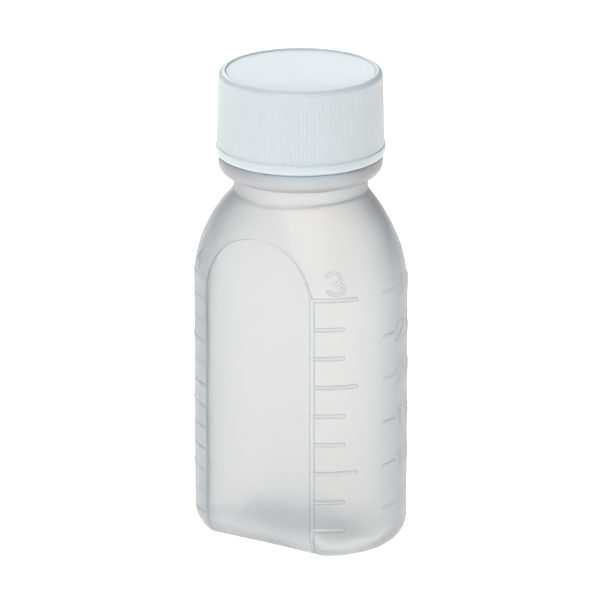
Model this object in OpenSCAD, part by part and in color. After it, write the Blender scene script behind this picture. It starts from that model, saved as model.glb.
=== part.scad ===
// Small oval dispensing bottle: a blow-moulded body with a graduated wall and
// two flat label panels, a soft sealing liner and a ribbed screw cap.
// Z is up. The origin is the middle of the base, X runs across the two round
// sides, and the label panels face -Y and +Y.

/* [Bottle body] */
// Width across the two round sides
body_w = 36.1; // [29:0.1:50]
// Depth between the two flat label panels
body_d = 25; // [20:0.1:31]
// How far each round side would stand out past the label panels in plan
side_crown = 1.15; // [0.6:0.05:1.6]
// Height of the straight wall, up to where the shoulder starts to close in
straight_h = 42.9; // [25:0.1:90]
// Height of the shoulder, from the straight wall to the root of the neck
shoulder_h = 17.1; // [13:0.1:26]
// How fast the shoulder closes in: 2 is a parabola
shoulder_power = 2.05; // [1.8:0.05:2.4]
// Share of an oval section's length that its front crown takes
front_crown = 0.055; // [0.03:0.005:0.2]
// How far the shoulder's skin closes in under the neck's outside
shoulder_tuck = 0.9; // [0.5:0.1:1.2]
// Rounding of the base edge under the round sides
base_side_r = 4.1; // [2:0.1:6]
// Rounding of the base edge under the label panels
base_panel_r = 5.1; // [2:0.1:7]
// Thickness of the blown wall
wall_t = 0.9; // [0.6:0.05:1.6]
// Depth of the hollow under the base, at its middle
push_up_h = 1.5; // [0.5:0.1:2.5]
// How much shallower the hollow is at its two ends than at its middle
push_up_crown = 0.7; // [0.2:0.1:1.2]
// Width of the rim that the bottle stands on
foot_w = 2; // [1:0.1:3]

/* [Volume scales] */
// Height of the zero mark, which is left off the wall
scale_zero_z = 0.7; // [0.3:0.1:2]
// How far the top mark lies above the straight wall
scale_rise = 1.9; // [0.5:0.1:2.5]
// Number of marks beside the front panel's right edge, then its left edge
front_marks = [9, 12]; // [3:1:15]
// Number of marks beside the rear panel's right edge, then its left edge
rear_marks = [6, 15]; // [3:1:15]
// Number of marks up the middle of the right side
side_marks = 6; // [2:1:12]
// Every how many marks one is longer
long_every = 3; // [2:1:5]
// Length round the wall of a longer mark
long_mark = 7.7; // [5:0.1:9]
// Length round the wall of a shorter mark
short_mark = 5.5; // [3:0.1:7]
// Length round the wall of a mark up the middle of the right side
side_mark = 3.4; // [2:0.1:6]
// Width of a mark where it leaves the wall
mark_w = 0.6; // [0.3:0.05:1]
// How far a mark stands out from the wall
mark_out = 0.25; // [0.1:0.01:0.4]
// Width of the spine up each side of a label panel
spine_w = 0.7; // [0.4:0.05:1]

/* [Neck] */
// Outside diameter of the neck, at the root of its thread
neck_d = 21.8; // [18:0.1:28]
// Thickness of the neck wall
neck_wall_t = 1.3; // [0.9:0.05:2]
// Height of plain neck between the shoulder's root and the collar
neck_bare_h = 1.9; // [1:0.1:6]
// Radial height of the thread that the cap turns on
thread_depth = 0.95; // [0.6:0.05:1.4]
// Height of the neck above its collar
finish_h = 12.3; // [9:0.1:20]
// How far the collar stands out from the neck
collar_out = 2.4; // [1:0.1:4]
// Thickness of the collar
collar_t = 1.9; // [1:0.1:4]
// Rounding under the collar
collar_round = 1.5; // [0.5:0.1:1.8]
// Chamfer of the mouth's two edges
mouth_chamfer = 0.3; // [0.1:0.05:0.5]

/* [Screw cap] */
// Radial gap between the thread's crest and the cap's bore
thread_gap = 0.3; // [0.15:0.05:0.6]
// Thickness of the cap's skirt at its top
skirt_t = 1.13; // [0.8:0.01:2]
// How much wider the skirt's radius is at its foot than at its top
skirt_taper = 0.18; // [0:0.01:0.6]
// Number of grip ribs round the skirt
rib_count = 124; // [40:1:140]
// Depth of the grip ribs
rib_depth = 0.12; // [0.05:0.01:0.3]
// Height of the smooth flange round the cap's foot
flange_h = 2.6; // [1.5:0.1:4]
// How far the flange stands out past the skirt's foot
flange_out = 0.24; // [0.1:0.02:0.8]
// Rounding of the cap's top edge
cap_edge_r = 1.6; // [0.8:0.1:2]
// Thickness of the cap's top
cap_top_t = 1.35; // [0.8:0.05:2.5]
// Depth of the dish in the cap's top
dish_h = 0.25; // [0.1:0.05:0.6]
// How far in from the skirt the dish's edge lies
dish_margin = 1.1; // [1:0.1:3]
// Gap between the collar and the foot of the closed cap
cap_foot_gap = 0.3; // [0.2:0.05:1]

/* [Sealing liner] */
// Thickness of the liner
liner_t = 1; // [0.5:0.1:2]
// Radial gap between the liner and the cap's bore
liner_gap = 0.25; // [0.1:0.05:0.6]

/* [Hidden] */
$fn = 96;
overlap = 1;

// Round sides: two arcs of side_r, whose centres lie side_c from the middle
side_r = body_d / 2 + side_crown;
side_c = body_w / 2 - side_r;

// Heights, from the base up
neck_root_z = straight_h + shoulder_h;
collar_z = neck_root_z + neck_bare_h;
collar_top_z = collar_z + collar_t;
mouth_z = collar_top_z + finish_h;
liner_top_z = mouth_z + liner_t;
cap_foot_z = collar_top_z + cap_foot_gap;
dish_z = liner_top_z + cap_top_t;
cap_top_z = dish_z + dish_h;

// Radii about the neck's axis
neck_r = neck_d / 2;
mouth_r = neck_r - neck_wall_t;
root_r = neck_r - shoulder_tuck;
cap_bore_r = neck_r + thread_depth + thread_gap;
skirt_top_r = cap_bore_r + skirt_t;
skirt_foot_r = skirt_top_r + skirt_taper;
flange_r = skirt_foot_r + flange_out;
liner_r = cap_bore_r - liner_gap;
dish_r = skirt_top_r - dish_margin;

// Half length and half depth of the section at the straight wall, before the
// label panels are cut
wall_a = body_w / 2;
wall_b = side_r + front_crown * side_c;

// The neck's wall runs on down inside the shoulder, to where the skin covers it
neck_cover = 0.3;
neck_low_z = straight_h
    + shoulder_h * pow(max(0, wall_b - neck_r - neck_cover) / (wall_b - root_r), 1 / shoulder_power);

// Scales: their top mark, their height, the angle of a panel's edge on a round
// side, and how deep a mark is rooted in the wall
scale_top_z = straight_h + scale_rise;
scale_h = scale_top_z - scale_zero_z;
edge_angle = asin(body_d / 2 / side_r);
mark_root = 0.5;

// Steps of the body's skin: round a quarter of a section, and up its height
side_steps = 18;
front_steps = 4;
base_rings = 5;
shoulder_rings = 12;

// Oval section with half length a and half depth b: two side arcs that meet a
// flatter front arc at one fixed angle. The points run round once.
seam_angle = atan((1 - front_crown * front_crown) / (2 * front_crown));
function section_angles() = concat(
    [for (i = [0:side_steps - 1]) i * seam_angle / side_steps],
    [for (i = [0:front_steps - 1]) seam_angle + i * (90 - seam_angle) / front_steps]);
function section_point(a, b, n) =
    let (c = (a - b) / (1 - front_crown), r = a - c,
         drop = c * (1 - front_crown * front_crown) / (2 * front_crown),
         front_r = norm([c, drop]) + r)
    n < seam_angle ? [c + r * cos(n), r * sin(n)] : [front_r * cos(n), front_r * sin(n) - drop];
function section(a, b) =
    let (q = [for (n = section_angles()) section_point(a, b, n)], m = len(q))
    concat(q,
        [[0, b]], [for (i = [m - 1:-1:1]) [-q[i][0], q[i][1]]],
        [for (i = [0:m - 1]) [-q[i][0], -q[i][1]]],
        [[0, -b]], [for (i = [m - 1:-1:1]) [q[i][0], -q[i][1]]]);

// One [height, half length, half depth] for each ring of the skin: the rounded
// base edge, then the shoulder, which closes in to a circle at the neck's root
function skin_rings(inset, floor_z) = concat(
    [for (i = [0:base_rings]) let (r = base_side_r - inset, n = 90 * i / base_rings, d = r * (1 - sin(n)))
        [floor_z + r * (1 - cos(n)), wall_a - inset - d, wall_b - inset - d]],
    [for (i = [0:shoulder_rings]) let (t = i / shoulder_rings, s = pow(t, shoulder_power))
        [straight_h + shoulder_h * t,
         wall_a - (wall_a - root_r) * s - inset,
         wall_b - (wall_b - root_r) * s - inset]]);

// Side view of the label panels, from the rounded edges at their feet up
module panel_profile(inset, floor_z) {
    r = base_panel_r - inset;
    half = body_d / 2 - inset;
    translate([-half, floor_z + r]) square([2 * half, neck_root_z - floor_z]);
    translate([r - half, floor_z]) square([2 * (half - r), neck_root_z - floor_z]);
    for (s = [-1, 1]) translate([s * (half - r), floor_z + r]) circle(r = r);
}

// The body as one skin of oval sections, cut flat at the two label panels
module body_form(inset, floor_z) {
    rings = skin_rings(inset, floor_z);
    outlines = [for (q = rings) section(q[1], q[2])];
    m = len(outlines[0]);
    last = len(rings) - 1;
    points = [for (i = [0:last]) for (p = outlines[i]) [p[0], p[1], rings[i][0]]];
    sides = [for (i = [0:last - 1]) for (j = [0:m - 1]) for (k = [0, 1])
        let (n = (j + 1) % m, low = i * m, high = low + m)
        k == 0 ? [low + j, high + j, high + n] : [low + j, high + n, low + n]];
    bottom = [for (j = [0:m - 1]) j];
    top = [for (j = [m - 1:-1:0]) last * m + j];
    intersection() {
        polyhedron(points, concat([bottom], sides, [top]));
        rotate([90, 0, 90]) translate([0, 0, -body_w])
            linear_extrude(2 * body_w) panel_profile(inset, floor_z);
    }
}

// A raised mark on the right-hand round side, from one angle round it to another,
// with sides that slope so that the mould lets go of it
module mark(z, from, to) {
    top = mark_w / 4;
    root = mark_w / 2 + (mark_w / 2 - top) * mark_root / mark_out;
    translate([side_c, 0, z]) rotate([0, 0, from]) rotate_extrude(angle = to - from)
        translate([side_r, 0])
            polygon([[-mark_root, -root], [mark_out, -top], [mark_out, top], [-mark_root, root]]);
}

// One scale beside a panel's edge, with a longer mark at each whole part
module edge_scale(marks) {
    for (i = [0:marks - 1]) {
        length = i % long_every == 0 ? long_mark : short_mark;
        angle = length / side_r * 180 / PI;
        mark(scale_top_z - i * scale_h / marks, -edge_angle, angle - edge_angle);
    }
}

// Spine up a panel's edge, from above the rounded base edge to the top mark
module spine() {
    low = base_panel_r + spine_w / 2;
    out = side_r - spine_w / 2 + mark_out;
    translate([side_c + out * cos(edge_angle), -out * sin(edge_angle), low])
        cylinder(d = spine_w, h = scale_top_z + mark_w / 2 - low);
}

// The scales of both panels, and the one up the middle of the right side
module scales() {
    for (side = [0, 1]) {
        mirror([side, 0, 0]) {
            spine();
            edge_scale(front_marks[side]);
            mirror([0, 1, 0]) {
                spine();
                edge_scale(rear_marks[side]);
            }
        }
    }
    angle = side_mark / side_r * 180 / PI;
    for (i = [0:side_marks - 1]) mark(scale_top_z - i * scale_h / side_marks, -angle, 0);
}

// Collar round the neck, rounded underneath and flat on top
module collar() {
    width = neck_r + collar_out - mouth_r;
    rotate_extrude() translate([mouth_r, collar_z]) intersection() {
        square([width, collar_t]);
        union() {
            square([width - collar_round, collar_t]);
            translate([0, collar_round]) square([width, collar_t]);
            translate([width - collar_round, collar_round]) circle(r = collar_round);
        }
    }
}

module neck_outside() {
    translate([0, 0, neck_low_z]) cylinder(r = neck_r, h = mouth_z - mouth_chamfer - neck_low_z);
    translate([0, 0, mouth_z - mouth_chamfer])
        cylinder(r1 = neck_r, r2 = neck_r - mouth_chamfer, h = mouth_chamfer);
}

module neck_bore() {
    translate([0, 0, neck_low_z]) cylinder(r = mouth_r, h = mouth_z + overlap - neck_low_z);
    translate([0, 0, mouth_z - mouth_chamfer])
        cylinder(r1 = mouth_r, r2 = mouth_r + mouth_chamfer, h = mouth_chamfer);
}

// Domed hollow under the base, inside the rim that the bottle stands on. Grown
// by the wall's thickness, it is the raised floor inside the bottle.
module push_up(grow) {
    end_r = side_r - base_side_r - foot_w + grow;
    half_d = body_d / 2 - base_panel_r - foot_w + grow;
    half_l = side_c + end_r - grow;
    dome_r = (half_l * half_l + push_up_crown * push_up_crown) / (2 * push_up_crown);
    intersection() {
        translate([0, 0, -overlap]) linear_extrude(push_up_h + grow + overlap) intersection() {
            union() {
                for (s = [-1, 1]) translate([s * side_c, 0]) circle(r = end_r);
                square([2 * side_c, 2 * end_r], center = true);
            }
            square([body_w, 2 * half_d], center = true);
        }
        translate([0, 0, push_up_h - dome_r]) sphere(r = dome_r + grow, $fn = 4 * $fn);
    }
}

module cavity() {
    difference() {
        body_form(wall_t, wall_t);
        push_up(wall_t);
    }
    neck_bore();
}

module bottle() {
    color([0.86, 0.88, 0.88, 0.8]) difference() {
        union() {
            body_form(0, 0);
            scales();
            collar();
            neck_outside();
        }
        cavity();
        push_up(0);
    }
}

module sealing_liner() {
    color("white") translate([0, 0, mouth_z]) cylinder(r = liner_r, h = liner_t);
}

// Skirt with its grip ribs, tapering up to the rounded top edge
module ribbed_skirt() {
    low = cap_foot_z + flange_h / 2;
    high = cap_top_z - cap_edge_r;
    full_h = high - cap_foot_z;
    low_r = skirt_foot_r - skirt_taper * (low - cap_foot_z) / full_h;
    translate([0, 0, low]) linear_extrude(high - low, scale = skirt_top_r / low_r)
        polygon([for (i = [0:rib_count - 1]) for (k = [0, 1])
            let (a = (i + k / 2) * 360 / rib_count) (low_r - k * rib_depth) * [cos(a), sin(a)]]);
}

module cap_outside() {
    ribbed_skirt();
    rotate_extrude() {
        // flange with a half-round edge
        translate([0, cap_foot_z]) square([flange_r - flange_h / 2, flange_h]);
        translate([flange_r - flange_h / 2, cap_foot_z + flange_h / 2]) circle(r = flange_h / 2);
        // rounded top edge
        translate([0, cap_top_z - cap_edge_r]) square([skirt_top_r - rib_depth - cap_edge_r, cap_edge_r]);
        translate([0, cap_top_z - 2 * cap_edge_r]) square([skirt_top_r - rib_depth, cap_edge_r]);
        translate([skirt_top_r - rib_depth - cap_edge_r, cap_top_z - cap_edge_r]) circle(r = cap_edge_r);
    }
}

module screw_cap() {
    color([0.85, 0.9, 0.92, 0.8]) difference() {
        cap_outside();
        translate([0, 0, cap_foot_z - overlap])
            cylinder(r = cap_bore_r, h = liner_top_z - cap_foot_z + overlap);
        translate([0, 0, dish_z]) cylinder(r1 = dish_r - dish_h, r2 = dish_r + overlap, h = dish_h + overlap);
    }
}

bottle();
sealing_liner();
screw_cap();
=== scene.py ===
import bpy
import bmesh
import math
import numpy as np
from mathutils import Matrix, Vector
from mathutils.geometry import delaunay_2d_cdt


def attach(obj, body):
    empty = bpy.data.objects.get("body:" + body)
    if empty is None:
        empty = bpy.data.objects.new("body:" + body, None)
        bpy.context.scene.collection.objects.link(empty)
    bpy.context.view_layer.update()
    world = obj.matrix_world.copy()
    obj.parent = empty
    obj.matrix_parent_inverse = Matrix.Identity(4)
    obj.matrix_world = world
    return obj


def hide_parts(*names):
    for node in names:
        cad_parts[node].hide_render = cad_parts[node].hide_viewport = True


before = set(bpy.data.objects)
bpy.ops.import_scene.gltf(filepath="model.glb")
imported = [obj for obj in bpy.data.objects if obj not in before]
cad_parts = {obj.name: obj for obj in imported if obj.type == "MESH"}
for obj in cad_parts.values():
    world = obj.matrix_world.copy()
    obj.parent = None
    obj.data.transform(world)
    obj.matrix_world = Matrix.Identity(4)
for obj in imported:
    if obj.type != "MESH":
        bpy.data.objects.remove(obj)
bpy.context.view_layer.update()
scene = bpy.context.scene
mm = 0.001


# --- Camera -------------------------------------------------------------------------------
# A long lens a metre away, above the bottle and to the right of its front label panel, so
# that the panel and the right-hand scales all show.
camera_azimuth, camera_elevation = 33.12, 18.52
camera_distance = 1065.5 * mm
camera_target = Vector((1.1, -1.9, 40.4)) * mm
sensor_w, focal_length = 36, 394.6


def direction(azimuth, elevation):
    """The direction at angles in degrees: azimuth 0 is the front and grows towards the right."""
    turn, lift = math.radians(azimuth), math.radians(elevation)
    return Vector((math.sin(turn) * math.cos(lift), -math.cos(turn) * math.cos(lift), math.sin(lift)))


camera = bpy.data.objects.new("camera", bpy.data.cameras.new("camera"))
scene.collection.objects.link(camera)
camera.data.sensor_width = sensor_w
camera.data.lens = focal_length
camera_back = direction(camera_azimuth, camera_elevation)
camera.location = camera_target + camera_distance * camera_back
camera.rotation_euler = camera_back.to_track_quat("Z", "Y").to_euler()
scene.camera = camera


# --- Bottle -------------------------------------------------------------------------------
# One blow-moulded piece of natural polypropylene, milky and see-through. The scales, their
# numbers and the spines beside the label panels are grooves in the mould, so they stand
# proud of the wall as half-round ridges with soft ends. All lengths are in mm.

# The section is an oval: its front and rear arcs bulge past the side arcs' radius by
# front_crown times the side arcs' shift. shoulder_power shapes the shoulder's dome.
body_w, body_d, wall_t = 36.1, 25.0, 0.9
side_r, front_crown = 13.65, 0.055
straight_h, shoulder_h, shoulder_power = 42.9, 17.1, 2.05
base_side_r, base_panel_r = 4.1, 5.1
foot_w, hollow_h, hollow_crown = 2.0, 1.5, 0.7
neck_r, bore_r, shoulder_top_r = 10.9, 9.6, 10.0
panel_edge_softness, neck_fillet, inner_fillet = 0.07, 0.12, 0.4

# Just under the neck the oval turns rounder, so that the neck's foot is an even ring
rounder_from_z, rounder_share = 55.8, 0.35

skin_top_z = straight_h + shoulder_h
wall_half_w = body_w / 2
wall_half_d = side_r + front_crown * (wall_half_w - side_r)
seam_angle = math.atan((1 - front_crown ** 2) / (2 * front_crown))


def soft_min(a, b, width):
    """The smaller of two lengths, with the corner between them rounded over a width."""
    blend = np.clip(0.5 + 0.5 * (b - a) / width, 0, 1)
    return b + (a - b) * blend - width * blend * (1 - blend)


def smooth_step(share):
    return (3 - 2 * share) * share ** 2


def arcs(half_w, half_d):
    """The shift and radius of an oval's side arcs, then the drop and radius of its front arcs."""
    shift = (half_w - half_d) / (1 - front_crown)
    side = half_w - shift
    drop = shift * (1 - front_crown ** 2) / (2 * front_crown)
    return shift, side, drop, np.hypot(shift, drop) + side


def half_sizes(z, inset=0.0):
    """Half the oval's width and depth at a height, and how far off the label panels lie."""
    def rounding(radius):
        radius = radius - inset
        rise = np.clip(z - inset, 0, radius)
        return radius - np.sqrt(radius ** 2 - (radius - rise) ** 2)
    closing = np.clip((z - straight_h) / shoulder_h, 0, 1) ** shoulder_power
    half_w = wall_half_w - (wall_half_w - shoulder_top_r) * closing - inset - rounding(base_side_r)
    half_d = wall_half_d - (wall_half_d - shoulder_top_r) * closing - inset - rounding(base_side_r)
    swap = rounder_share * smooth_step(np.clip((z - rounder_from_z) / (skin_top_z - rounder_from_z), 0, 1))
    half_w, half_d = half_w + (half_d - half_w) * swap, half_d + (half_w - half_d) * swap
    return half_w, half_d, body_d / 2 - inset - rounding(base_panel_r)


def oval(facing, half_w, half_d, flat_d):
    """Points of a section where it faces given compass angles: an oval with two flat panels."""
    shift, side, drop, front = arcs(half_w, half_d)
    on_side = np.abs(np.sin(facing)) < math.sin(seam_angle)
    x = np.where(on_side, np.sign(np.cos(facing)) * shift + side * np.cos(facing), front * np.cos(facing))
    y = np.where(on_side, side * np.sin(facing), front * np.sin(facing) - np.sign(np.sin(facing)) * drop)
    return x, np.sign(y) * soft_min(np.abs(y), flat_d, panel_edge_softness)


def skin(facing, z, inset=0.0):
    """Points of the body's outside, or of its inside when a wall's thickness is inset."""
    x, y = oval(facing, *half_sizes(z, inset))
    radius = np.hypot(x, y)
    neck, fillet = (bore_r, inner_fillet) if inset else (neck_r, neck_fillet)
    wide = np.where(z > straight_h, -soft_min(-radius, -neck, fillet), radius)
    return np.stack([x * wide / radius, y * wide / radius, z + 0 * x], -1)


# The wall is mapped flat: across is the distance round it, 0 at the middle of the right
# side and growing towards the rear panel, and up is the height.
half_front = math.pi / 2 - seam_angle
side_len = 2 * side_r * seam_angle
front_len = 2 * arcs(wall_half_w, wall_half_d)[3] * half_front
around = 2 * (side_len + front_len)
facing_marks = [-1.5 * math.pi, -1.5 * math.pi + half_front, -0.5 * math.pi - half_front,
                -0.5 * math.pi + half_front, 0.5 * math.pi - half_front, 0.5 * math.pi]
across_marks = np.cumsum([0, front_len / 2, side_len, front_len, side_len, front_len / 2])
across_marks = across_marks - (1.5 * side_len + 1.5 * front_len)


def facing_at(across):
    return np.interp(across, across_marks, facing_marks)


def panel_edge(z):
    """Where the front label panel's right edge lies on the flat map at a height."""
    half_w, half_d, flat_d = half_sizes(z)
    shift, side, drop, front = arcs(half_w, half_d)
    on_side = np.arcsin(np.clip(flat_d / side, 0, 1))
    on_front = np.arcsin(np.clip((flat_d + drop) / front, 0, 1))
    return np.interp(-np.where(on_side < seam_angle, on_side, on_front), facing_marks, across_marks)


def beside(edge, path):
    """A path given beside the front panel's right edge, moved beside any panel edge."""
    across, up = np.asarray(path, float).T
    moved = {"front_right": across, "front_left": -around / 2 - across,
             "rear_right": -across, "rear_left": across - around / 2}[edge]
    return np.stack([moved, up], -1)


# Ridges on the wall: each is a path on the flat map, its half width, how far it is proud
# and how strong the painted shade, a cool grey line along its foot, is.
ridges = []


def arc(centre_x, centre_y, radius_x, radius_y, start, end, steps=14):
    return [(centre_x + radius_x * math.cos(a), centre_y + radius_y * math.sin(a))
            for a in np.radians(np.linspace(start, end, steps))]


# Plain numerals as pen strokes in a box one unit wide and one high
digit_strokes = {
    "0": [arc(0.5, 0.5, 0.5, 0.5, 0, 360, 28)],
    "1": [[(0.52, 0), (0.52, 1), (0.2, 0.8)]],
    "2": [arc(0.5, 0.7, 0.47, 0.3, 165, -35) + [(0, 0), (1, 0)]],
    "3": [arc(0.48, 0.76, 0.43, 0.24, 155, -90) + arc(0.48, 0.26, 0.52, 0.26, 80, -155)],
    "4": [[(0.75, 0), (0.75, 1), (0, 0.28), (1, 0.28)]],
    "5": [[(0.92, 1), (0.18, 1), (0.08, 0.53)] + arc(0.48, 0.32, 0.5, 0.32, 125, -150)]}


def write_number(text, left, foot_z, box, step, shape):
    """Adds a number's strokes as ridges: its digits' box, their step and the ridges' shape."""
    for place, digit in enumerate(text):
        for stroke in digit_strokes[digit]:
            ridges.append((np.asarray(stroke) * box + (left + place * step, foot_z), *shape))


# Each panel edge has a scale of its own, with a longer line at every third mark: how many
# lines it has, the numeral over it and how strong the painted shade lines at its ridges' feet are
edge_scales = {"front_right": (9, "3", 1.0), "front_left": (12, "4", 0.3),
               "rear_right": (6, "2", 0.7), "rear_left": (15, "5", 0.7)}
top_line_z, scale_span = 44.84, 44.12
mark_half_w, mark_proud, mark_root = 0.3, 0.15, 0.2
long_mark_end, short_mark_end = -8.2, -10.4
numeral_middle, numeral_foot_z, numeral_box = -11.4, 45.76, (2.7, 3.5)
numeral_half_w, numeral_proud = 0.22, 0.13
side_edge = float(panel_edge(straight_h))
for edge, (lines, numeral, foot_painted_shade) in edge_scales.items():
    for line in range(lines):
        height = top_line_z - line * scale_span / lines
        end = short_mark_end if line % 3 else long_mark_end
        path = beside(edge, [(side_edge + mark_root, height), (end, height)])
        ridges.append((path, mark_half_w, mark_proud, foot_painted_shade))
    middle = beside(edge, [(numeral_middle, 0)])[0][0]
    write_number(numeral, middle - numeral_box[0] / 2, numeral_foot_z, numeral_box, 0,
                 (numeral_half_w, numeral_proud, foot_painted_shade))

# The millilitre scale up the middle of the right side
side_lines, side_line_ml = 6, 5
side_mark, side_mark_shape = np.array([(-2.8, 0), (0.15, 0)]), (0.3, 0.1, 0.4)
side_numeral_left, side_numeral_box, side_numeral_step = 0.75, (2.6, 3.0), 3.75
side_numeral_shape = (0.24, 0.09, 0.4)
for line in range(side_lines):
    height = top_line_z - line * scale_span / side_lines
    ridges.append((side_mark + (0, height), *side_mark_shape))
    write_number(str(side_line_ml * (side_lines - line)), side_numeral_left,
                 height - side_numeral_box[1] / 2, side_numeral_box, side_numeral_step, side_numeral_shape)

# Spines up the panels' edges, a fine bead that follows each arch and fades at its top, and
# a flat painted shade line along the arch. The bead is made of short parts, each finer than the last.
spine_half_w, spine_proud, spine_foot_z = 0.36, 0.15, 0.9
arch_steps, bead_part, bead_offset = 90, 6, 0.2
bead_foot, bead_tip = np.array((0.25, 0.14)), np.array((0.1, 0.01))
arch_painted_shade_shape = (0.02, 0.0, 0.8)
arch_top_z = straight_h + shoulder_h * (
    (wall_half_d - body_d / 2) / (wall_half_d - shoulder_top_r)) ** (1 / shoulder_power)
arch_rise = np.sin(np.radians(np.linspace(0, 90, arch_steps + 1)))
arch_z = top_line_z + (arch_top_z - top_line_z) * arch_rise
arch_edge = np.stack([panel_edge(arch_z), arch_z], -1)
spine = np.array([(side_edge + spine_half_w, spine_foot_z), (side_edge + spine_half_w, top_line_z)])
for edge, (lines, numeral, foot_painted_shade) in edge_scales.items():
    ridges.append((beside(edge, spine), spine_half_w, spine_proud, foot_painted_shade))
    for start in range(0, arch_steps, bead_part):
        fade = 1 - start / arch_steps
        bead = arch_edge[start:start + bead_part + 1] + (bead_offset * fade, bead_offset * (1 - fade))
        half_w, proud = bead_tip + fade * (bead_foot - bead_tip)
        ridges.append((beside(edge, bead), half_w, proud, fade * math.sqrt(foot_painted_shade)))
    ridges.append((beside(edge, arch_edge), *arch_painted_shade_shape))

ridge_flank, painted_shade_line_w = 0.8, 0.1


def ridge_form(across, up):
    """How far the ridges stand out at points of the flat map, and where the painted shade lines at their feet
    run.
    """
    height, top, painted_shade_line = np.zeros((3, len(across)))
    for path, half_w, proud, foot_painted_shade in ridges:
        low, high = path.min(0) - half_w - painted_shade_line_w, path.max(0) + half_w + painted_shade_line_w
        near = np.flatnonzero((across > low[0]) & (across < high[0]) & (up > low[1]) & (up < high[1]))
        point = np.stack([across[near], up[near]], -1)
        distance = np.full(len(near), np.inf)
        for start, end in zip(path[:-1], path[1:]):
            step = end - start
            share = np.clip((point - start) @ step / (step @ step), 0, 1)
            distance = np.minimum(distance, np.linalg.norm(point - start - share[:, None] * step, axis=1))
        flank = np.clip((1 - distance / half_w) / ridge_flank, 0, 1)
        height[near] = np.maximum(height[near], proud * smooth_step(flank))
        top[near] = np.maximum(top[near], flank)
        # Painted shade: a cool grey line along each ridge's foot, cleared where any ridge's top lies
        line = np.clip(1 - np.abs(distance - half_w) / painted_shade_line_w, 0, 1)
        painted_shade_line[near] = np.maximum(painted_shade_line[near], foot_painted_shade * line)
    return height, painted_shade_line * (1 - top)


def triangulate(points):
    """Corners and triangles that join points of a flat map."""
    with_hull, tolerance = 0, 1e-6
    corners, _, faces = delaunay_2d_cdt([Vector(p) for p in points], [], [], with_hull, tolerance)[:3]
    return np.array(corners), faces


# The wall's points: a plain grid with closer rows under the neck, whose columns are shared
# by every ring of the bottle, and closer spots along each ridge and panel edge
column_count = 168
columns = across_marks[0] + around * np.arange(column_count + 1) / column_count
ring_facing = facing_at(columns[:-1])
rounding_z = base_side_r * (1 - np.cos(np.radians(np.linspace(0, 90, 13))))
first_row_z, row_step = 4.8, 0.75
close_row_z, close_row_step, last_row_z = 57.15, 0.2, 59.8
plain_z = np.concatenate([rounding_z, np.arange(first_row_z, close_row_z, row_step),
                          np.arange(close_row_z, last_row_z, close_row_step), [skin_top_z]])
grid = np.array([(across, up) for up in plain_z for across in columns])

ridge_offsets, spot_step = (0, 0.4, 0.55, 0.7, 0.85, 1.0, 1.4), 0.28
tip_turns = np.radians(np.arange(0, 360, 30))
tip_circle = np.stack([np.cos(tip_turns), np.sin(tip_turns)], -1)
spots = []
for path, half_w, proud, foot_painted_shade in ridges:
    for start, end in zip(path[:-1], path[1:]):
        length = np.linalg.norm(end - start)
        along = np.linspace(0, 1, max(2, math.ceil(length / spot_step) + 1))
        normal = np.array([start[1] - end[1], end[0] - start[0]]) / length
        for offset in ridge_offsets:
            for turn in (-1, 1):
                spots.append(start + along[:, None] * (end - start) + turn * offset * half_w * normal)
    for tip in (path[0], path[-1]):
        spots += [tip + reach * half_w * tip_circle for reach in ridge_offsets[1:]]

crease_foot_z, crease_step = 0.3, 0.35
crease_offsets, arch_offsets = (-0.3, -0.12, 0.0, 0.12), (-0.12, 0.12, 0.24)
crease_z = np.arange(crease_foot_z, top_line_z, crease_step)
crease = np.concatenate([np.stack([panel_edge(crease_z), crease_z], -1), arch_edge])
for edge in edge_scales:
    spots += [beside(edge, crease + (offset, 0)) for offset in crease_offsets]
    spots += [beside(edge, arch_edge + (0, offset)) for offset in arch_offsets]

# Closer spots also run round the neck's foot, where the shoulder meets it
neck_foot_offsets = (-0.16, -0.08, 0, 0.08, 0.16)
shoulder_z = np.linspace(straight_h, skin_top_z, 400)
neck_foot_z = []
for facing in facing_at(columns):
    radii = np.hypot(*oval(facing + 0 * shoulder_z, *half_sizes(shoulder_z)))
    neck_foot_z.append(np.interp(-neck_r, -radii, shoulder_z))
spots += [np.stack([columns, np.array(neck_foot_z) + offset], -1) for offset in neck_foot_offsets]
spots = np.concatenate(spots)

edge_margin, foot_margin, top_margin = 0.1, 0.25, 0.4
spot_cell, grid_cell = 0.05, 0.4


def away_from_edges(points):
    return ((points[:, 0] > columns[0] + edge_margin) & (points[:, 0] < columns[-1] - edge_margin)
            & (points[:, 1] > foot_margin) & (points[:, 1] < skin_top_z - top_margin))


spots = spots[away_from_edges(spots)]
spots = spots[np.unique(np.round(spots / spot_cell), axis=0, return_index=True)[1]]
crowded = {tuple(cell) for cell in np.round(spots / grid_cell).astype(int)}
free = [not inside or tuple(cell) not in crowded
        for inside, cell in zip(away_from_edges(grid), np.round(grid / grid_cell).astype(int))]
flat_corners, wall_faces = triangulate(np.concatenate([grid[free], spots]))
wall_facing = facing_at(flat_corners[:, 0])
wall_outward = np.stack([np.cos(wall_facing), np.sin(wall_facing), 0 * wall_facing], -1)
wall_lift, wall_painted_shade = ridge_form(*flat_corners.T)
wall = (skin(wall_facing, flat_corners[:, 1]) + wall_lift[:, None] * wall_outward, wall_faces)

# A fainter painted shade line also runs in the crease where the shoulder meets the neck
neck_painted_shade_w, neck_painted_shade_strength = 0.2, 0.35
free_radius = np.hypot(*oval(wall_facing, *half_sizes(flat_corners[:, 1])))
neck_painted_shade = np.clip(1 - np.abs(free_radius - neck_r) / neck_painted_shade_w, 0, 1) * (flat_corners[:, 1] > straight_h)
wall_painted_shade = np.maximum(wall_painted_shade, neck_painted_shade_strength * neck_painted_shade)


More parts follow.
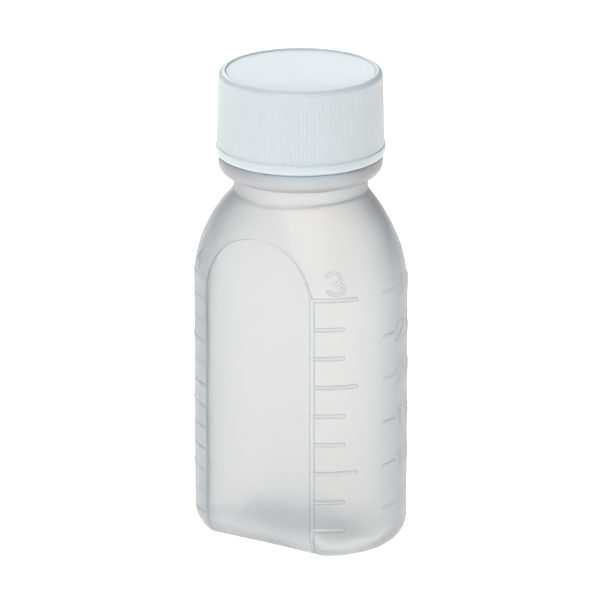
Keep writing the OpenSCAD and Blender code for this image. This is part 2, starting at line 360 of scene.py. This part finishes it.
def rings_to_mesh(rings):
    """Corners and four-sided faces that join rings of equally many points."""
    rings = np.asarray(rings)
    count, across_count = rings.shape[:2]
    faces = [(row * across_count + col, row * across_count + (col + 1) % across_count,
              (row + 1) * across_count + (col + 1) % across_count, (row + 1) * across_count + col)
             for row in range(count - 1) for col in range(across_count)]
    return rings.reshape(-1, 3), faces


# Underside and inner floor: a flat foot round a shallow domed hollow, with the parting
# line's pinch-off across it. The ring of the foot is the bottom ring of the wall. Each
# foot point is how far past the foot's inner edge and how high it lies.
foot_half_w, foot_half_d, foot_flat_d = half_sizes(0.0)
foot_points = [(-0.25, 0), (-0.05, 0.12), (0.12, 0.62), (0.35, 0.8)]
hollow_shares = np.linspace(0.92, 0.04, 14)
pinch_half_w, pinch_h, pinch_reach, pinch_fade = 0.28, 0.3, 5.6, 0.5
pinch_offsets, pinch_step = (-0.42, -0.28, -0.14, 0, 0.14, 0.28, 0.42), 0.2
pinch_clear_half_w, pinch_clear_end = 0.5, 0.2


def floor_patch(base_z, foot, pinched):
    """A floor with a foot of a given width, and the pinch-off's ridge where it is the underside."""
    points, rises = [], []
    for inset, rise in [(0, 0), (0.5 * foot, 0)] + [(foot + past, rise) for past, rise in foot_points]:
        ring = np.stack(oval(ring_facing, foot_half_w - inset, foot_half_d - inset, foot_flat_d - inset), -1)
        points.append(ring)
        rises.append(np.full(len(ring), rise))
    for share in hollow_shares:
        points.append(share * ring)
        rises.append(np.full(len(ring), hollow_h - hollow_crown * share ** 2))
    points, rises = np.concatenate(points), np.concatenate(rises)
    if pinched:
        clear = ((np.abs(points[:, 0]) > pinch_clear_half_w)
                 | (np.abs(points[:, 1]) > pinch_reach + pinch_clear_end))
        points, rises = points[clear], rises[clear]
        along = np.arange(-pinch_reach, pinch_reach + 0.05 * pinch_step, pinch_step)
        end_fade = np.clip((pinch_reach - np.abs(along)) / pinch_fade, 0, 1)
        hollow = hollow_h - hollow_crown * (along / (foot_flat_d - foot)) ** 2
        for offset in pinch_offsets:
            bump = pinch_h * end_fade * max(0, 1 - (offset / pinch_half_w) ** 2)
            points = np.concatenate([points, np.stack([offset + 0 * along, along], -1)])
            rises = np.concatenate([rises, hollow - bump])
    corners, faces = triangulate(points)
    lookup = {tuple(np.round(p, 4)): rise for p, rise in zip(points, rises)}
    height = np.array([lookup[tuple(np.round(c, 4))] for c in corners])
    return np.column_stack([corners, base_z + height]), faces


# Neck: a short bare stretch, a bowl-shaped collar, then the finish with its thread
collar_z, collar_top_z, mouth_z = 61.5, 64.75, 76.1
collar_r, collar_fillet, bowl_r, lip_r = neck_r + 2.4, 0.35, 2.0, 0.2
mouth_out_r, mouth_in_r = 0.4, 0.3
thread_pitch, thread_reach, thread_half_w = 3.175, 0.95, 0.62
thread_flank, thread_fade = 0.6, 0.12
thread_foot_z, thread_turns = 66.2, 2.4


def thread_share(angle, z, start_z, turns):
    """1 on a right-handed thread's crest, falling to 0 at its foot and past both its ends."""
    angle = np.mod(angle, 2 * math.pi) / (2 * math.pi)
    along = np.round((z - start_z) / thread_pitch - angle) + angle
    off = np.abs(z - start_z - along * thread_pitch)
    fade = np.clip(np.minimum(along, turns - along) / thread_fade, 0, 1)
    return fade * np.clip((thread_half_w - off) / (thread_half_w * thread_flank), 0, 1)


def round_ring(radius, z, angle):
    """A ring at a height, with one radius or one for each angle."""
    return np.stack([radius * np.cos(angle), radius * np.sin(angle), z + 0 * angle], -1)


def revolve(profile, angle=ring_facing):
    return rings_to_mesh([round_ring(r, z, angle) for r, z in profile])


def arc_profile(centre_r, centre_z, radius, start, end, steps):
    return [(centre_r + radius * math.cos(a), centre_z + radius * math.sin(a))
            for a in np.radians(np.linspace(start, end, steps))]


bare_neck_z, bore_z = (skin_top_z, 60.5, 61.0), (73, 70, 66, 62, skin_top_z)
collar_inner_r = neck_r + 0.25
neck_profile = ([(neck_r, z) for z in bare_neck_z]
                + arc_profile(neck_r + collar_fillet, collar_z - collar_fillet, collar_fillet, 180, 90, 5)
                + arc_profile(collar_r - bowl_r, collar_z + bowl_r, bowl_r, -90, -8, 9)
                + [(collar_r, collar_top_z - lip_r)]
                + arc_profile(collar_r - lip_r, collar_top_z - lip_r, lip_r, 30, 90, 3)
                + [(collar_inner_r, collar_top_z)])
finish_foot_z, finish_top_z, finish_step = collar_top_z + 0.25, mouth_z - 0.55, 0.2
finish_z = np.arange(finish_foot_z, finish_top_z, finish_step)
finish = []
for z in finish_z:
    crest = thread_share(ring_facing, z, thread_foot_z, thread_turns)
    finish.append(round_ring(neck_r + thread_reach * crest, z, ring_facing))
mouth_profile = ([(neck_r, finish_z[-1])]
                 + arc_profile(neck_r - mouth_out_r, mouth_z - mouth_out_r, mouth_out_r, 0, 90, 6)
                 + arc_profile(bore_r + mouth_in_r, mouth_z - mouth_in_r, mouth_in_r, 90, 180, 6)
                 + [(bore_r, z) for z in bore_z])

# The wall's inside, from the neck down to its rounding, in closer rows near the neck
inner_top, inner_shoulder, inner_wall = (54, -0.2), (straight_h, -0.9), (4.3, -3.0)
inner_rounding_z = wall_t + (base_side_r - wall_t) * (1 - np.cos(np.radians(np.linspace(90, 0, 11))))
inner_z = np.concatenate([np.arange(skin_top_z, *inner_top), np.arange(inner_top[0], *inner_shoulder),
                          np.arange(inner_shoulder[0], *inner_wall), inner_rounding_z])
inner_rings = [skin(ring_facing, z, wall_t) for z in inner_z]


def make_piece(name, parts, shades=None):
    """One closed, welded and smooth mesh from parts in mm, with named values at its corners."""
    weld_gap, least_edge = 0.003 * mm, 0.001 * mm
    mesh = bpy.data.meshes.new(name)
    corners, faces = [], []
    for part_corners, part_faces in parts:
        faces += [tuple(len(corners) + i for i in face) for face in part_faces]
        corners += [tuple(c) for c in np.asarray(part_corners) * mm]
    mesh.from_pydata(corners, [], faces)
    for shade, values in (shades or {}).items():
        mesh.attributes.new(shade, "FLOAT", "POINT").data.foreach_set("value", values)
    work = bmesh.new()
    work.from_mesh(mesh)
    bmesh.ops.remove_doubles(work, verts=work.verts, dist=weld_gap)
    bmesh.ops.dissolve_degenerate(work, edges=work.edges, dist=least_edge)
    bmesh.ops.recalc_face_normals(work, faces=work.faces)
    work.to_mesh(mesh)
    work.free()
    mesh.shade_smooth()
    piece = bpy.data.objects.new(name, mesh)
    scene.collection.objects.link(piece)
    return piece


# Each part with its haze, which blurs its surface, and its milkiness, which grows with how
# thick it is. Both rise from nothing at the shoulder's top to the neck's own.
neck_haze, neck_milk, inner_haze, inner_milk, haze_rise = 0.7, 0.5, 1.0, 0.1, 0.5
on_neck = np.clip((neck_r - free_radius) / haze_rise, 0, 1)
neck, mouth = revolve(neck_profile), revolve(mouth_profile)
collar_to_finish = rings_to_mesh([neck[0][-column_count:], finish[0]])
down_bore = np.clip((mouth_z - mouth[0][:, 2]) / (mouth_z - skin_top_z), 0, 1)
mouth_haze = neck_haze + (inner_haze - neck_haze) * down_bore
mouth_milk = neck_milk + (inner_milk - neck_milk) * down_bore
bottle_parts = [
    (wall, neck_haze * on_neck, neck_milk * on_neck),
    (floor_patch(0.0, foot_w, True), 0, 0),
    (neck, neck_haze, neck_milk),
    (collar_to_finish, neck_haze, neck_milk),
    (rings_to_mesh(finish), neck_haze, neck_milk),
    (mouth, mouth_haze, mouth_milk),
    (rings_to_mesh(inner_rings), inner_haze, inner_milk),
    (floor_patch(wall_t, foot_w - wall_t, False), inner_haze, inner_milk)]
shades = {"haze": np.concatenate([np.zeros(len(part[0])) + haze for part, haze, milk in bottle_parts]),
          "milkiness": np.concatenate([np.zeros(len(part[0])) + milk for part, haze, milk in bottle_parts])}
# The wall's corners also carry the painted shade lines along ridge feet, the arch and the neck's foot
shades["painted_shade_line"] = np.zeros(len(shades["haze"]))
shades["painted_shade_line"][:len(wall_painted_shade)] = wall_painted_shade
bottle = make_piece("moulded_bottle", [part for part, haze, milk in bottle_parts], shades)


def linear(hex_colour):
    """An sRGB hex colour as the linear colour that the shaders work in."""
    parts = [int(hex_colour[i:i + 2], 16) / 255 for i in (1, 3, 5)]
    return [c / 12.92 if c <= 0.04045 else ((c + 0.055) / 1.055) ** 2.4 for c in parts] + [1]


def add_node(tree, kind, inputs, **settings):
    """Adds a node, sets its settings, and links or sets each of its inputs."""
    node = tree.nodes.new(kind)
    for name, value in settings.items():
        setattr(node, name, value)
    for name, value in inputs.items():
        if isinstance(value, bpy.types.NodeSocket):
            tree.links.new(value, node.inputs[name])
        else:
            node.inputs[name].default_value = value
    return node


def new_material(name):
    material = bpy.data.materials.new(name)
    material.use_nodes = True
    material.node_tree.nodes.clear()
    return material, material.node_tree


# Natural polypropylene is milky and see-through: its surface blurs what lies behind, more
# so inside, and thick stretches such as the neck scatter light and look whiter. The blown
# wall is faintly uneven, and where the eye looks along it, it is cooler and darker.
ripple_size, ripple_h, scatter_reach = 5.55 * mm, 0.1 * mm, 3 * mm
natural_polypropylene, tree = new_material("natural_polypropylene")
place = add_node(tree, "ShaderNodeTexCoord", {}).outputs["Object"]
ripple = add_node(tree, "ShaderNodeTexNoise", {
    "Vector": place, "Scale": 1 / ripple_size, "Detail": 2.0}).outputs["Fac"]
uneven = add_node(tree, "ShaderNodeBump", {
    "Height": ripple, "Strength": 0.08, "Distance": ripple_h}).outputs[0]
haze_here = add_node(tree, "ShaderNodeAttribute", {}, attribute_name="haze").outputs["Fac"]
roughness = add_node(tree, "ShaderNodeMapRange", {
    "Value": haze_here, "To Min": 0.33, "To Max": 0.45}).outputs[0]
milky_here = add_node(tree, "ShaderNodeAttribute", {}, attribute_name="milkiness").outputs["Fac"]
clear_here = add_node(tree, "ShaderNodeMapRange", {
    "Value": milky_here, "To Min": 0.96, "To Max": 0.3}).outputs[0]
# Painted shade: a cool grey line mixed into the base colour along ridge feet, the arch's crease and the
# neck's foot
painted_shade_here = add_node(tree, "ShaderNodeAttribute", {}, attribute_name="painted_shade_line").outputs["Fac"]
shade = add_node(tree, "ShaderNodeMixRGB", {
    "Fac": painted_shade_here, "Color1": linear("#FFFAF7"), "Color2": linear("#8E9AA0")}).outputs[0]
surface = add_node(tree, "ShaderNodeBsdfPrincipled", {
    "Base Color": shade, "Roughness": roughness, "IOR": 1.49, "Transmission Weight": clear_here,
    "Subsurface Weight": 1.0, "Subsurface Radius": (1.0, 1.0, 1.0), "Subsurface Scale": scatter_reach,
    "Normal": uneven}).outputs[0]
depth = add_node(tree, "ShaderNodeVolumeAbsorption", {
    "Color": linear("#61B5D8"), "Density": 200.0}).outputs[0]
add_node(tree, "ShaderNodeOutputMaterial", {"Surface": surface, "Volume": depth})
bottle.data.materials.append(natural_polypropylene)
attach(bottle, "bottle")
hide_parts("bottle")


# --- Sealing liner ------------------------------------------------------------------------
# A disc die-cut from soft white polyethylene foam, pushed into the top of the cap. The
# mouth presses on it and leaves a faint ring.
liner_r, liner_z, liner_top_z = 11.9, 76.1, 77.1
liner_round, liner_hub_r = 0.18, 0.4
ring_in_r, ring_out_r, ring_flank, ring_depth = 9.6, 10.9, 0.3, 0.02
liner_polar = np.linspace(0, 2 * math.pi, 96, endpoint=False)
liner_profile = ([(liner_hub_r, liner_z), (5, liner_z), (ring_in_r - ring_flank, liner_z),
                  (ring_in_r, liner_z + ring_depth), (ring_out_r, liner_z + ring_depth),
                  (ring_out_r + ring_flank, liner_z)]
                 + arc_profile(liner_r - liner_round, liner_z + liner_round, liner_round, -90, 0, 5)
                 + arc_profile(liner_r - liner_round, liner_top_z - liner_round, liner_round, 0, 90, 5)
                 + [(6, liner_top_z), (liner_hub_r, liner_top_z)])


def disc_cap(radius, z, angle):
    """A fan that closes the middle of a revolved form."""
    count = len(angle)
    corners = np.concatenate([round_ring(radius, z, angle), [(0, 0, z)]])
    return corners, [(i, (i + 1) % count, count) for i in range(count)]


liner = make_piece("foam_liner", [revolve(liner_profile, liner_polar),
                                  disc_cap(liner_hub_r, liner_z, liner_polar),
                                  disc_cap(liner_hub_r, liner_top_z, liner_polar)])

# Foamed polyethylene is matt and white, with fine pores that catch a little shade
cell_size, cell_depth, foam_scatter_reach = 0.286 * mm, 0.05 * mm, 0.6 * mm
foamed_polyethylene, tree = new_material("foamed_polyethylene")
place = add_node(tree, "ShaderNodeTexCoord", {}).outputs["Object"]
cells = add_node(tree, "ShaderNodeTexVoronoi", {"Vector": place, "Scale": 1 / cell_size}).outputs["Distance"]
pores = add_node(tree, "ShaderNodeBump", {
    "Height": cells, "Strength": 0.35, "Distance": cell_depth}).outputs[0]
surface = add_node(tree, "ShaderNodeBsdfPrincipled", {
    "Base Color": linear("#F4F4F1"), "Roughness": 0.8, "IOR": 1.5, "Subsurface Weight": 0.4,
    "Subsurface Radius": (1.0, 1.0, 1.0), "Subsurface Scale": foam_scatter_reach, "Normal": pores}).outputs[0]
add_node(tree, "ShaderNodeOutputMaterial", {"Surface": surface})
liner.data.materials.append(foamed_polyethylene)
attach(liner, "liner")
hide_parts("sealing_liner")


# --- Screw cap ----------------------------------------------------------------------------
# Injection-moulded natural polyethylene, bluish white. Fine upright ribs give grip round
# the skirt, and a plain bead closes its foot. A thread inside matches the neck's.
cap_foot_z, cap_top_z, cap_roof_z, cap_edge_r = 64.9, 78.7, liner_top_z, 1.0
skirt_top_r, skirt_foot_r, cap_bore_r, cap_hub_r = 13.28, 13.58, 12.15, 0.5
flange_r, flange_h, flange_lip_r, flange_foot_r, bore_lip_r = 13.70, 1.7, 0.24, 0.6, 0.25
dish_r, dish_h, dish_sag, dish_round, dish_wall_w = 12.18, 0.25, 0.35, 0.3, 0.35
rib_count, rib_columns, rib_depth, rib_fade = 124, 5, 0.09, 0.5
rib_top_z, rib_foot_z = cap_top_z - 0.9, cap_foot_z + flange_h
skirt_start_z = cap_top_z - cap_edge_r
dish_z, dish_floor_r = cap_top_z - dish_h, dish_r - dish_wall_w
cap_polar = np.linspace(0, 2 * math.pi, rib_count * rib_columns, endpoint=False)
rib_phase = np.mod(np.arange(len(cap_polar)), rib_columns) / rib_columns
rib_shape = np.sqrt(1 - (2 * rib_phase - 1) ** 2)


def cap_ring(radius, z, ribbed=0.0):
    """A ring of the cap, with its ribs at a share of their depth."""
    return round_ring(radius - rib_depth * ribbed * (1 - rib_shape), z, cap_polar)


def dish_floor_z(radius):
    """The height of the dish's floor, which sags towards the middle."""
    return dish_z - dish_sag * (1 - (radius / dish_floor_r) ** 2)


def skirt_radius(z):
    """The skirt's radius, which widens from the top's rounding to the foot."""
    return skirt_top_r + (skirt_foot_r - skirt_top_r) * (skirt_start_z - z) / (skirt_start_z - cap_foot_z)


cap_rings = [cap_ring(r, dish_floor_z(r)) for r in np.linspace(cap_hub_r, dish_floor_r, 9)]
dish_lip_w, top_edge_gap = 0.02, 0.05
dish_lip = arc_profile(dish_floor_r, dish_z + dish_round, dish_round, -90, -40, 4)
dish_lip += [(dish_r - dish_lip_w, cap_top_z - dish_lip_w)]
cap_rings += [cap_ring(r, z) for r, z in dish_lip]
for r, z in arc_profile(skirt_top_r - cap_edge_r, cap_top_z - cap_edge_r, cap_edge_r, 90, 0, 14):
    if r > dish_r + top_edge_gap:
        cap_rings.append(cap_ring(r, z, np.clip((rib_top_z - z) / rib_fade, 0, 1)))
skirt_z = np.arange(skirt_start_z - 0.8, rib_foot_z + 0.3, -0.9)
for z, ribbed in [(z, 1) for z in skirt_z] + [(rib_foot_z + 0.25, 1), (rib_foot_z + 0.1, 0.5)]:
    cap_rings.append(cap_ring(skirt_radius(z), z, ribbed))
flange_straight_z = cap_foot_z + 1.2
flange_profile = (arc_profile(flange_r - flange_lip_r, rib_foot_z - flange_lip_r, flange_lip_r, 80, 0, 5)
                  + [(flange_r, flange_straight_z)]
                  + arc_profile(flange_r - flange_foot_r, cap_foot_z + flange_foot_r,
                                flange_foot_r, 0, -90, 9)
                  + arc_profile(cap_bore_r + bore_lip_r, cap_foot_z + bore_lip_r,
                                bore_lip_r, -90, -180, 4))
cap_rings += [cap_ring(r, z) for r, z in flange_profile]

# The cap's thread lies half a pitch under the neck's and runs half a turn further
cap_thread_foot_z, cap_thread_turns = thread_foot_z - thread_pitch / 2, thread_turns + 0.5
roof_round, roof_mid_r = 0.2, 6
bore_row_z = np.arange(cap_foot_z + 0.5, cap_roof_z - 1.2, 0.3)
for z in bore_row_z:
    crest = thread_share(cap_polar, z, cap_thread_foot_z, cap_thread_turns)
    cap_rings.append(round_ring(cap_bore_r - thread_reach * crest, z, cap_polar))
roof_profile = [(cap_bore_r, cap_roof_z - 0.8), (cap_bore_r, cap_roof_z - roof_round),
                (cap_bore_r - roof_round, cap_roof_z), (roof_mid_r, cap_roof_z), (cap_hub_r, cap_roof_z)]
cap_rings += [cap_ring(r, z) for r, z in roof_profile]
cap = make_piece("ribbed_screw_cap", [rings_to_mesh(cap_rings),
                                      disc_cap(cap_hub_r, dish_floor_z(cap_hub_r), cap_polar),
                                      disc_cap(cap_hub_r, cap_roof_z, cap_polar)])

# Natural polyethylene is waxy and satin, closer than the bottle's plastic, with a cool tint
grain_size, grain_h, wax_scatter_reach = 1.11 * mm, 0.05 * mm, 1.5 * mm
natural_polyethylene, tree = new_material("natural_polyethylene")
place = add_node(tree, "ShaderNodeTexCoord", {}).outputs["Object"]
grain = add_node(tree, "ShaderNodeTexNoise", {
    "Vector": place, "Scale": 1 / grain_size, "Detail": 3.0}).outputs["Fac"]
satin = add_node(tree, "ShaderNodeBump", {
    "Height": grain, "Strength": 0.08, "Distance": grain_h}).outputs[0]
surface = add_node(tree, "ShaderNodeBsdfPrincipled", {
    "Base Color": linear("#D2DDE3"), "Roughness": 0.3, "IOR": 1.52, "Transmission Weight": 0.1,
    "Subsurface Weight": 1.0, "Subsurface Radius": (1.0, 1.0, 1.0), "Subsurface Scale": wax_scatter_reach,
    "Normal": satin}).outputs[0]
add_node(tree, "ShaderNodeOutputMaterial", {"Surface": surface})
cap.data.materials.append(natural_polyethylene)
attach(cap, "cap")
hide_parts("screw_cap")


# --- Floor and light ----------------------------------------------------------------------
# A wide pale floor that glows a little, as a lit table does, under soft lights: one
# overhead, one in front, a strong one behind that the cap's top mirrors, and weak sides.
floor_half = 4.0
floor_mesh = bpy.data.meshes.new("studio_floor")
floor_mesh.from_pydata([(-floor_half, -floor_half, 0), (floor_half, -floor_half, 0),
                        (floor_half, floor_half, 0), (-floor_half, floor_half, 0)], [], [(0, 1, 2, 3)])
studio_floor = bpy.data.objects.new("studio_floor", floor_mesh)
scene.collection.objects.link(studio_floor)

# Pale board, matt and evenly lit, so that the bottle shows against white
pale_floor, tree = new_material("pale_floor")
surface = add_node(tree, "ShaderNodeBsdfPrincipled", {
    "Base Color": linear("#F6F6F6"), "Roughness": 0.9,
    "Emission Color": linear("#FFF4EA"), "Emission Strength": 0.9}).outputs[0]
add_node(tree, "ShaderNodeOutputMaterial", {"Surface": surface})
floor_mesh.materials.append(pale_floor)


def add_light(name, azimuth, elevation, distance, size, radiance):
    """A soft white square light that faces the bottle, from its direction and its own brightness."""
    away = direction(azimuth, elevation)
    data = bpy.data.lights.new(name, "AREA")
    data.shape = "SQUARE"
    data.size = size
    data.energy = radiance * math.pi * size ** 2
    light = bpy.data.objects.new(name, data)
    scene.collection.objects.link(light)
    light.location = Vector((0, 0, 40 * mm)) + distance * away
    light.rotation_euler = away.to_track_quat("Z", "Y").to_euler()


add_light("overhead", azimuth=20, elevation=68, distance=1.3, size=1.3, radiance=1.9)
add_light("front", azimuth=15, elevation=30, distance=1.5, size=1.2, radiance=1.4)
add_light("right", azimuth=90, elevation=25, distance=1.5, size=1.0, radiance=0.3)
add_light("left", azimuth=-75, elevation=25, distance=1.5, size=1.0, radiance=0.4)
add_light("back", azimuth=-137, elevation=30, distance=1.5, size=1.0, radiance=2.6)

world = bpy.data.worlds.new("studio")
scene.world = world
world.use_nodes = True
background = world.node_tree.nodes["Background"]
background.inputs["Color"].default_value = linear("#F4F8FA")
background.inputs["Strength"].default_value = 0.08
scene.view_settings.view_transform = "Standard"
